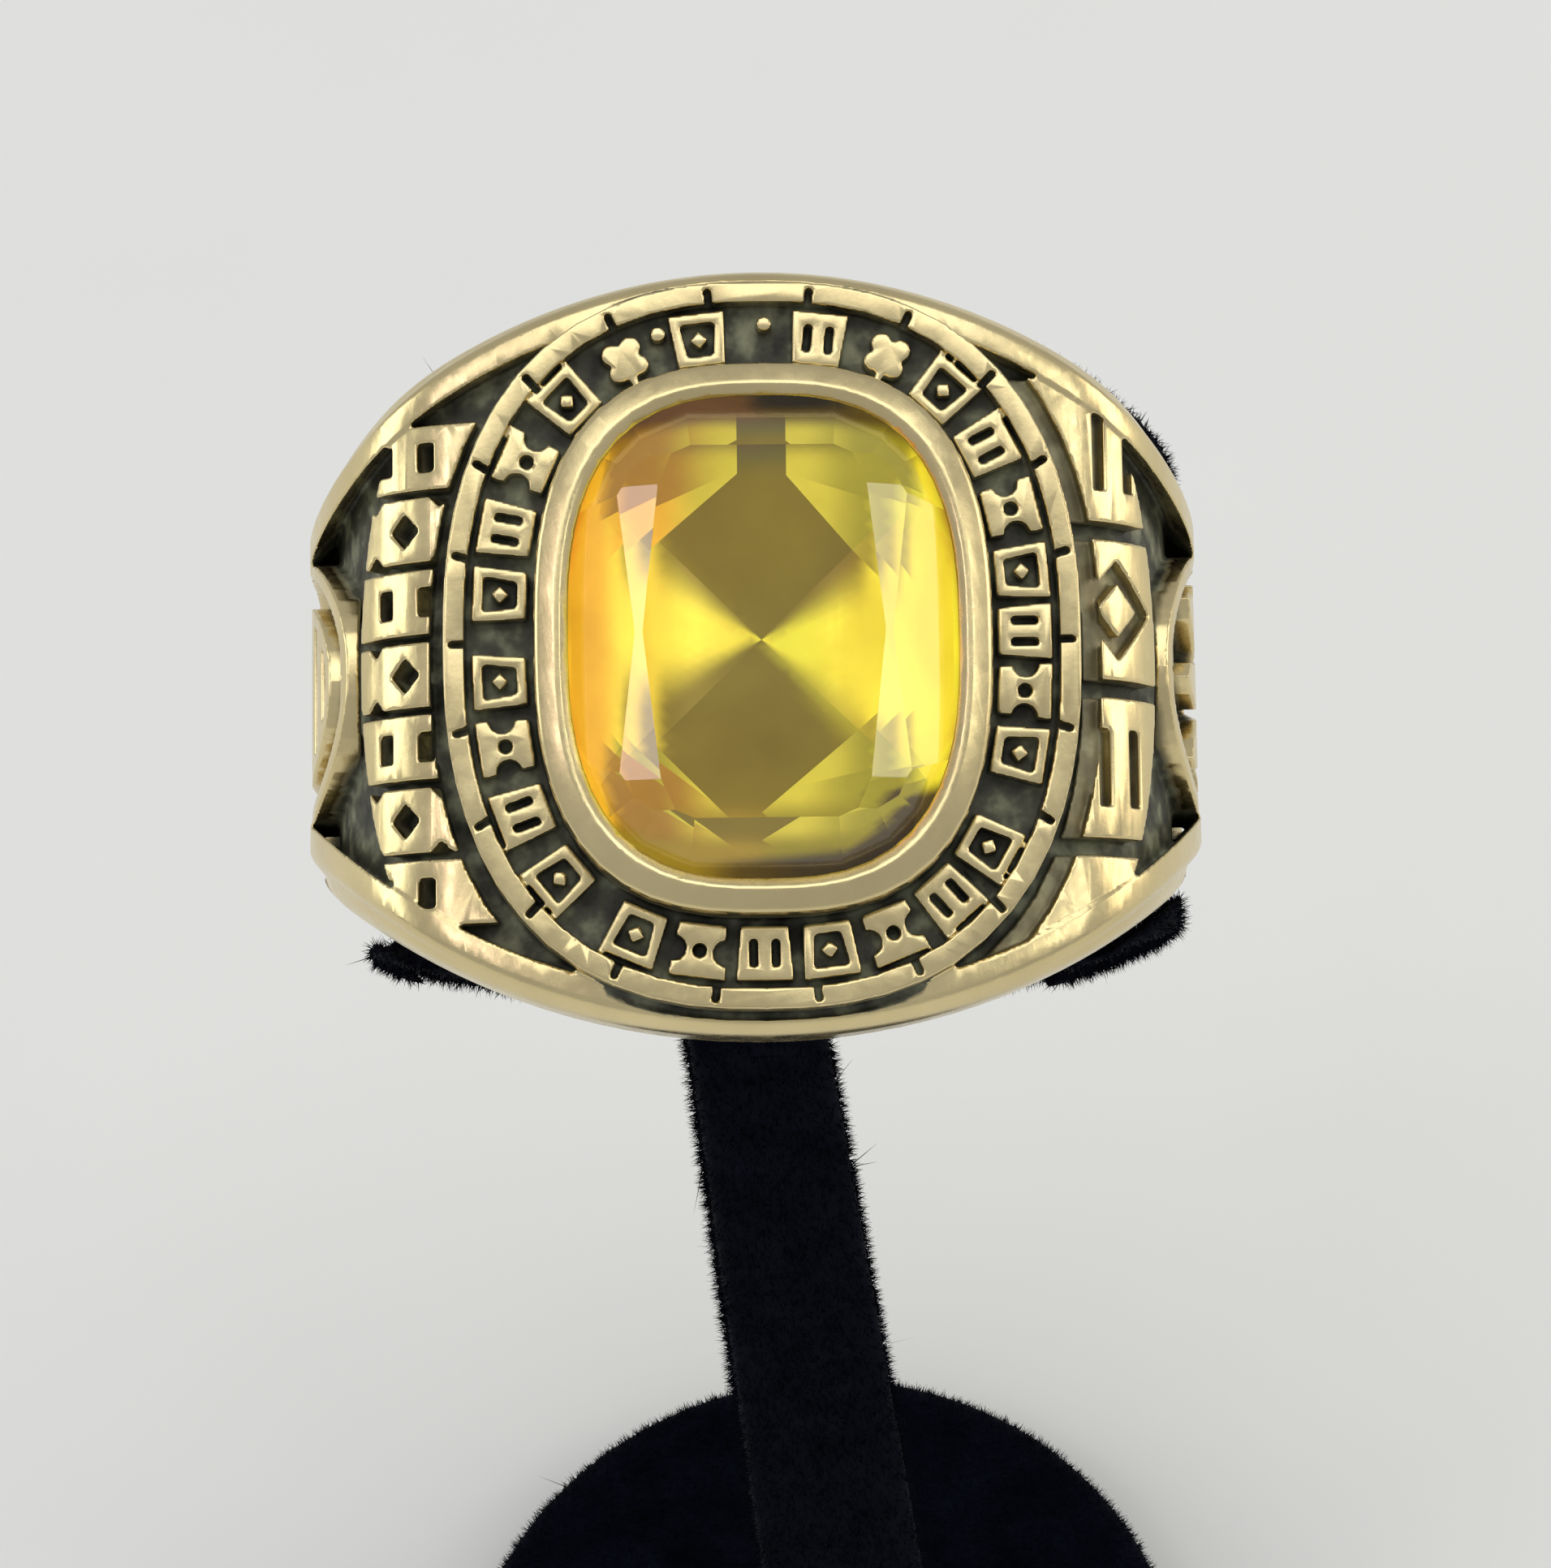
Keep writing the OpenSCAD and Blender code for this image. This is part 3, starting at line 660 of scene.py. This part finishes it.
def paint_facet_light(points, centres):
    """Colour painted on the stone's lower facets: its yellow, with painted reflections and painted
    shade.

    It varies softly with the place of a point and in steps with the place of its facet's centre.
    """
    x, y, _ = ((1 - CENTRE_SHARE) * points + CENTRE_SHARE * centres).T
    middle_x, middle_y, _ = centres.T
    off_x = np.abs(x)
    off_y = np.abs(y)
    west = fade("west", -x)
    north = fade("north", y)
    rim = np.hypot(x / STONE_HALF_W, y / STONE_HALF_L)

    # Kites, the fans between them and the two flanks: painted shade on the olive kites, painted
    # reflections on the fans and flanks
    side = blend(LEMON, YELLOW, west)
    side = blend(side, AMBER, west * fade("fan amber x", -x) * fade("fan amber y", off_y))
    yellow = fade("flank yellow", off_x) * FLANK_YELLOW
    flank = blend(LEMON, blend(AMBER, YELLOW, yellow), west)
    angle = np.degrees(np.arctan2(y - FANS_AT[1], x - FANS_AT[0]))
    fans = np.maximum(fan_share(angle, *FAN_EAST), fan_share(angle, *FAN_WEST))
    tones = blend(OLIVE, side, fans)
    tones = blend(tones, flank, fade("flank", off_x))

    # Corners and ends, past the sharp lines, also painted reflections and painted shade
    outer = blend(KHAKI, AMBER, west * north)
    corner = blend(STRAW, outer, fade("corner outer", off_x))
    corner = blend(corner, flank, fade("corner flank", off_x))
    end = blend(STRAW, blend(KHAKI, TAN, west), fade("end outer", off_x))
    end = blend(end, flank, fade("end flank x", off_x) * fade("end flank y", off_y))
    past_kites = np.zeros(len(x), dtype=bool)
    past_ends = np.zeros(len(x), dtype=bool)
    for k, (kite_line, end_line) in enumerate(zip(KITE_LINES, END_LINES)):
        here = (middle_y > 0) == (k < 2)
        here &= (middle_x > 0) == (k in (1, 2))
        past_kites |= here & ~right_of(middle_x, middle_y, *kite_line)
        past_ends |= here & ~right_of(middle_x, middle_y, *end_line)
    tones = np.where(past_kites[:, None], corner, tones)
    tones = np.where((past_kites & past_ends)[:, None], end, tones)
    column = (middle_y > COLUMN_Y) & (middle_x > COLUMN[0]) & (middle_x < COLUMN[1])
    tones = np.where(column[:, None], blend(SLATE, OLIVE, fade("column", y)), tones)
    below = fade("below", -y)
    dull = blend(blend(OLIVE, KHAKI, below * BELOW_KHAKI), TAN, west * BELOW_TAN)
    tones = blend(tones, dull, below)

    # Painted highlights on the rim's bright sides, painted shade on its dark top and foot and on
    # the dark corner below on the east
    edge = fade("edge x", off_x) * (1 - fade("edge y", off_y))
    tones = blend(tones, blend(LEMON, AMBER, west), edge)
    tones = blend(tones, blend(TAN, ORANGE, west), edge * fade("edge rim", rim))
    top = fade("top", y)
    tones = blend(tones, blend(BROWN, PURPLE, west), top)
    dark_reflection = top * fade("ink start", x) * (1 - fade("ink end", x))
    tones = blend(tones, DARK_REFLECTION, dark_reflection * fade("ink y", y))
    foot = fade("foot", FOOT_SLOPE * x - y) * fade("foot start", x)
    tones = blend(tones, blend(BROWN, DARK_REFLECTION, fade("foot ink", x) * FOOT_DARK_REFLECTION), foot)
    along = LOW_EAST_WAY[0] * x + LOW_EAST_WAY[1] * y
    low_east = fade("low east", along) * fade("low east y", -y)
    return blend(tones, blend(BROWN, DARK_REFLECTION, fade("low east rim", rim)), low_east)


def lower_facets(shape):
    """Faces under the girdle, and their edges and corners, each once and in their order."""
    faces = [face for face in shape.faces if face.material_index]
    edges = dict.fromkeys(edge for face in faces for edge in face.edges)
    corners = dict.fromkeys(corner for face in faces for corner in face.verts)
    return faces, list(edges), list(corners)


def cut_lines(shape):
    """Cuts the stone's lower facets along the sharp lines between tones."""
    uprights = [((x, 0), (x, 1)) for x in COLUMN]
    for start, end in KITE_LINES + END_LINES + uprights:
        faces, edges, corners = lower_facets(shape)
        bmesh.ops.bisect_plane(
            shape,
            geom=faces + edges + corners,
            plane_co=(*start, 0),
            plane_no=(end[1] - start[1], start[0] - end[0], 0),
        )


def make_stone():
    """Replaces the stone with the same faceted form, its hidden facets cut fine and painted with
    reflections and shade.
    """
    source = nodes["stone"].data.copy()
    write_points(source, moved(read_points(source), world_to_ring))
    shape = bmesh.new()
    shape.from_mesh(source)
    bmesh.ops.dissolve_limit(
        shape, angle_limit=math.radians(FLAT_ANGLE), verts=shape.verts[:], edges=shape.edges[:]
    )
    shape.normal_update()
    for face in shape.faces:
        face.material_index = 1 if face.normal.z < LOWER_RISE else 0
    bmesh.ops.triangulate(shape, faces=lower_facets(shape)[0])
    for _ in range(FACET_CUTS):
        edges = lower_facets(shape)[1]
        bmesh.ops.subdivide_edges(shape, edges=edges, cuts=1, use_grid_fill=True)
    for vertex in shape.verts:
        vertex.co.y += CULET_NORTH * max(GIRDLE_Z - vertex.co.z, 0) / (GIRDLE_Z - CULET_Z)
    cut_lines(shape)
    mesh = bpy.data.meshes.new("stone_cut")
    shape.to_mesh(mesh)
    shape.free()
    points = read_points(mesh)
    corner_point = np.empty(len(mesh.loops), dtype=np.int32)
    mesh.loops.foreach_get("vertex_index", corner_point)
    corner_face = np.repeat(np.arange(len(mesh.polygons)), [p.loop_total for p in mesh.polygons])
    centres = np.array([p.center[:] for p in mesh.polygons])
    # Painted reflections and painted shade for each corner of the lower facets
    tones = paint_facet_light(points[corner_point], centres[corner_face])
    layer = mesh.color_attributes.new("facet_painted_light", "FLOAT_COLOR", "CORNER")
    layer.data.foreach_set("color", np.hstack([tones, np.ones((len(tones), 1))]).ravel())
    write_points(mesh, moved(points, ring_to_world))
    mesh.materials.append(crown_material())
    mesh.materials.append(pavilion_material())
    piece = new_object("stone_cut", mesh)
    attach(piece, "root")
    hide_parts("stone")


def crown_material():
    """Clear stone that the light goes through."""
    crown = Shader("stone crown")
    crown.set(Base_Color=(1, 0.99, 0.84, 1), IOR=1.62, Transmission_Weight=1.0)
    crown.feed("Roughness", crown.range(crown.noise(900, 3), 0.4, 0.75, 0.0, 0.05))
    return crown.material


def pavilion_material():
    """Lower facets, which show their stored painted reflections and shade and glow with them,
    though they are no lamp.
    """
    pavilion = Shader("stone pavilion")
    # The emission makes the facets glow with their painted light, though they are no lamp.
    pavilion.set(Metallic=0.3, Roughness=0.25, Emission_Strength=0.6)
    tone = pavilion.attribute("facet_painted_light", "Color")
    cloud = pavilion.ramp(pavilion.noise(500, 3), CLOUD_TONES)
    node = pavilion.add("ShaderNodeMix", data_type="RGBA", blend_type="MULTIPLY")
    node.inputs[0].default_value = 1
    pavilion.link(tone, node.inputs[6])
    pavilion.link(cloud, node.inputs[7])
    pavilion.feed("Base Color", node.outputs[2])
    pavilion.feed("Emission Color", node.outputs[2])
    return pavilion.material


# Flocked stand

FLOCK_VOXEL = 0.2
FLOCK_PASSES = 8
FLOCK_TONES = [(0.3, (0.0006, 0.001, 0.0035)), (0.7, (0.003, 0.004, 0.009))]

# Fibres on each piece: how many, and the shortest and the longest in millimetres
PILE = [(110000, (0.12, 0.38)), (60, (0.6, 1.6))]
FIBRE_WIDTH = 0.035
FIBRE_LEAN = 0.55


def fibre_triangles(points, triangles, count, lengths, dice):
    """Thin upright triangles spread evenly over a surface, as points and rows of indices."""
    a, b, c = (points[triangles[:, k]] for k in range(3))
    normals = np.cross(b - a, c - a)
    areas = np.linalg.norm(normals, axis=1)
    normals /= np.maximum(areas, 1e-12)[:, None]
    pick = dice.choice(len(triangles), count, p=areas / areas.sum())
    u, v = dice.random((2, count))
    over = u + v > 1
    u[over], v[over] = 1 - u[over], 1 - v[over]
    root = a[pick] + u[:, None] * (b - a)[pick] + v[:, None] * (c - a)[pick]
    way = normals[pick] + dice.normal(0, FIBRE_LEAN, (count, 3))
    way /= np.linalg.norm(way, axis=1)[:, None]
    aside = np.cross(way, dice.normal(0, 1, (count, 3)))
    aside /= np.linalg.norm(aside, axis=1)[:, None]
    half = aside * FIBRE_WIDTH / 2
    tip = root + way * dice.uniform(*lengths, count)[:, None]
    corners = np.stack([root - half, root + half, tip], axis=1).reshape(-1, 3)
    return corners, np.arange(3 * count).reshape(-1, 3)


def make_flocked(name, node, material, dice):
    """Replaces a plain node with a softly rounded body covered in short fibres."""
    source = nodes[node].data.copy()
    write_points(source, read_points(source) / MM)
    piece = new_object(name, source)
    mesh = remesh(piece, FLOCK_VOXEL, FLOCK_PASSES)
    mesh = thin_out(piece, PIECE_TRIANGLES - sum(count for count, _ in PILE))
    points = read_points(mesh)
    mesh.calc_loop_triangles()
    triangles = np.array([t.vertices[:] for t in mesh.loop_triangles])
    parts = [(points, triangles)]
    for count, lengths in PILE:
        parts.append(fibre_triangles(points, triangles, count, lengths, dice))
    starts = np.cumsum([0] + [len(p) for p, _ in parts])
    corners = np.vstack([p for p, _ in parts])
    corners[:, 2] = np.maximum(corners[:, 2], 0)
    faces = np.vstack([t + start for (_, t), start in zip(parts, starts)])
    flocked = bpy.data.meshes.new(name)
    flocked.from_pydata(corners * MM, [], faces)
    flocked.update()
    shade_smooth(flocked)
    flocked.materials.append(material)
    piece.data = flocked
    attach(piece, "root")
    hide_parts(node)


def flock_material():
    flock = Shader("black flock")
    flock.set(Metallic=0.0, Roughness=0.9, Specular_IOR_Level=0.04)
    flock.set(Sheen_Weight=0.012, Sheen_Roughness=0.4)
    flock.feed("Base Color", flock.ramp(flock.noise(600, 4), FLOCK_TONES))
    return flock.material


# Surroundings, with the lights placed about the ring's head

FLOOR_HALF = 1.2
PAPER_TONES = [(0.3, (0.85, 0.86, 0.845)), (0.7, (0.865, 0.87, 0.86))]
SKY_COLOR = (0.96, 0.98, 1.0, 1)
SKY_STRENGTH = 0.5

# Name, degrees west and north of the stone's axis, distance and size in metres, radiance, colour
LIGHTS = [
    ("ceiling", 0, 30, 0.7, (0.9, 0.42), 1.5, (1, 0.99, 0.95)),
    ("strip west", 40, 11.5, 0.5, (0.055, 0.158), 4.2, (1, 0.86, 0.95)),
    ("strip east", -43, 11.5, 0.5, (0.055, 0.158), 3.6, (1, 0.98, 0.88)),
    ("window", 88, 82, 0.6, (0.28, 0.28), 2.2, (0.98, 1, 0.92)),
    ("room", -79, 58, 0.6, (0.28, 0.28), 2.6, (1, 0.9, 0.74)),
]


def make_floor():
    mesh = bpy.data.meshes.new("floor")
    far = FLOOR_HALF
    corners = [(-far, -far, 0), (far, -far, 0), (far, far, 0), (-far, far, 0)]
    mesh.from_pydata(corners, [], [(0, 1, 2, 3)])
    floor = new_object("floor", mesh)
    paper = Shader("paper")
    paper.set(Roughness=0.9, Specular_IOR_Level=0.1)
    paper.feed("Base Color", paper.ramp(paper.noise(60, 4), PAPER_TONES))
    mesh.materials.append(paper.material)


def soft_light(name, west, north, away, size, radiance, color):
    """Soft light that faces the ring's head, at angles west and north of the stone's axis."""
    data = bpy.data.lights.new(name, "AREA")
    data.shape = "RECTANGLE"
    data.size = size[0]
    data.size_y = size[1]
    data.energy = radiance * math.pi * size[0] * size[1]
    data.color = color
    light = bpy.data.objects.new(name, data)
    bpy.context.scene.collection.objects.link(light)
    head = ring_to_world @ Vector((0, 0, BEZEL_Z))
    turn = ring_to_world.to_quaternion()
    way = Vector((-math.tan(math.radians(west)), math.tan(math.radians(north)), 1)).normalized()
    across = Vector((1, 0, 0))
    side = across - way * across.dot(way)
    side.normalize()
    upward = way.cross(side)
    axes = Matrix((turn @ side, turn @ upward, turn @ way)).transposed()
    light.matrix_world = Matrix.LocRotScale(head + (turn @ way) * away, axes.to_quaternion(), None)


def make_lights():
    world = bpy.data.worlds.new("world")
    bpy.context.scene.world = world
    world.use_nodes = True
    sky = world.node_tree.nodes["Background"]
    sky.inputs[0].default_value = SKY_COLOR
    sky.inputs[1].default_value = SKY_STRENGTH
    for light in LIGHTS:
        soft_light(*light)


make_camera()
make_floor()
make_lights()
make_ring()
make_stone()
black = flock_material()
dice = np.random.default_rng(SEED)
make_flocked("clip_flock", "clip", black, dice)
make_flocked("foot_plate_flock", "foot_plate", black, dice)

bpy.context.scene.view_settings.view_transform = "Standard"
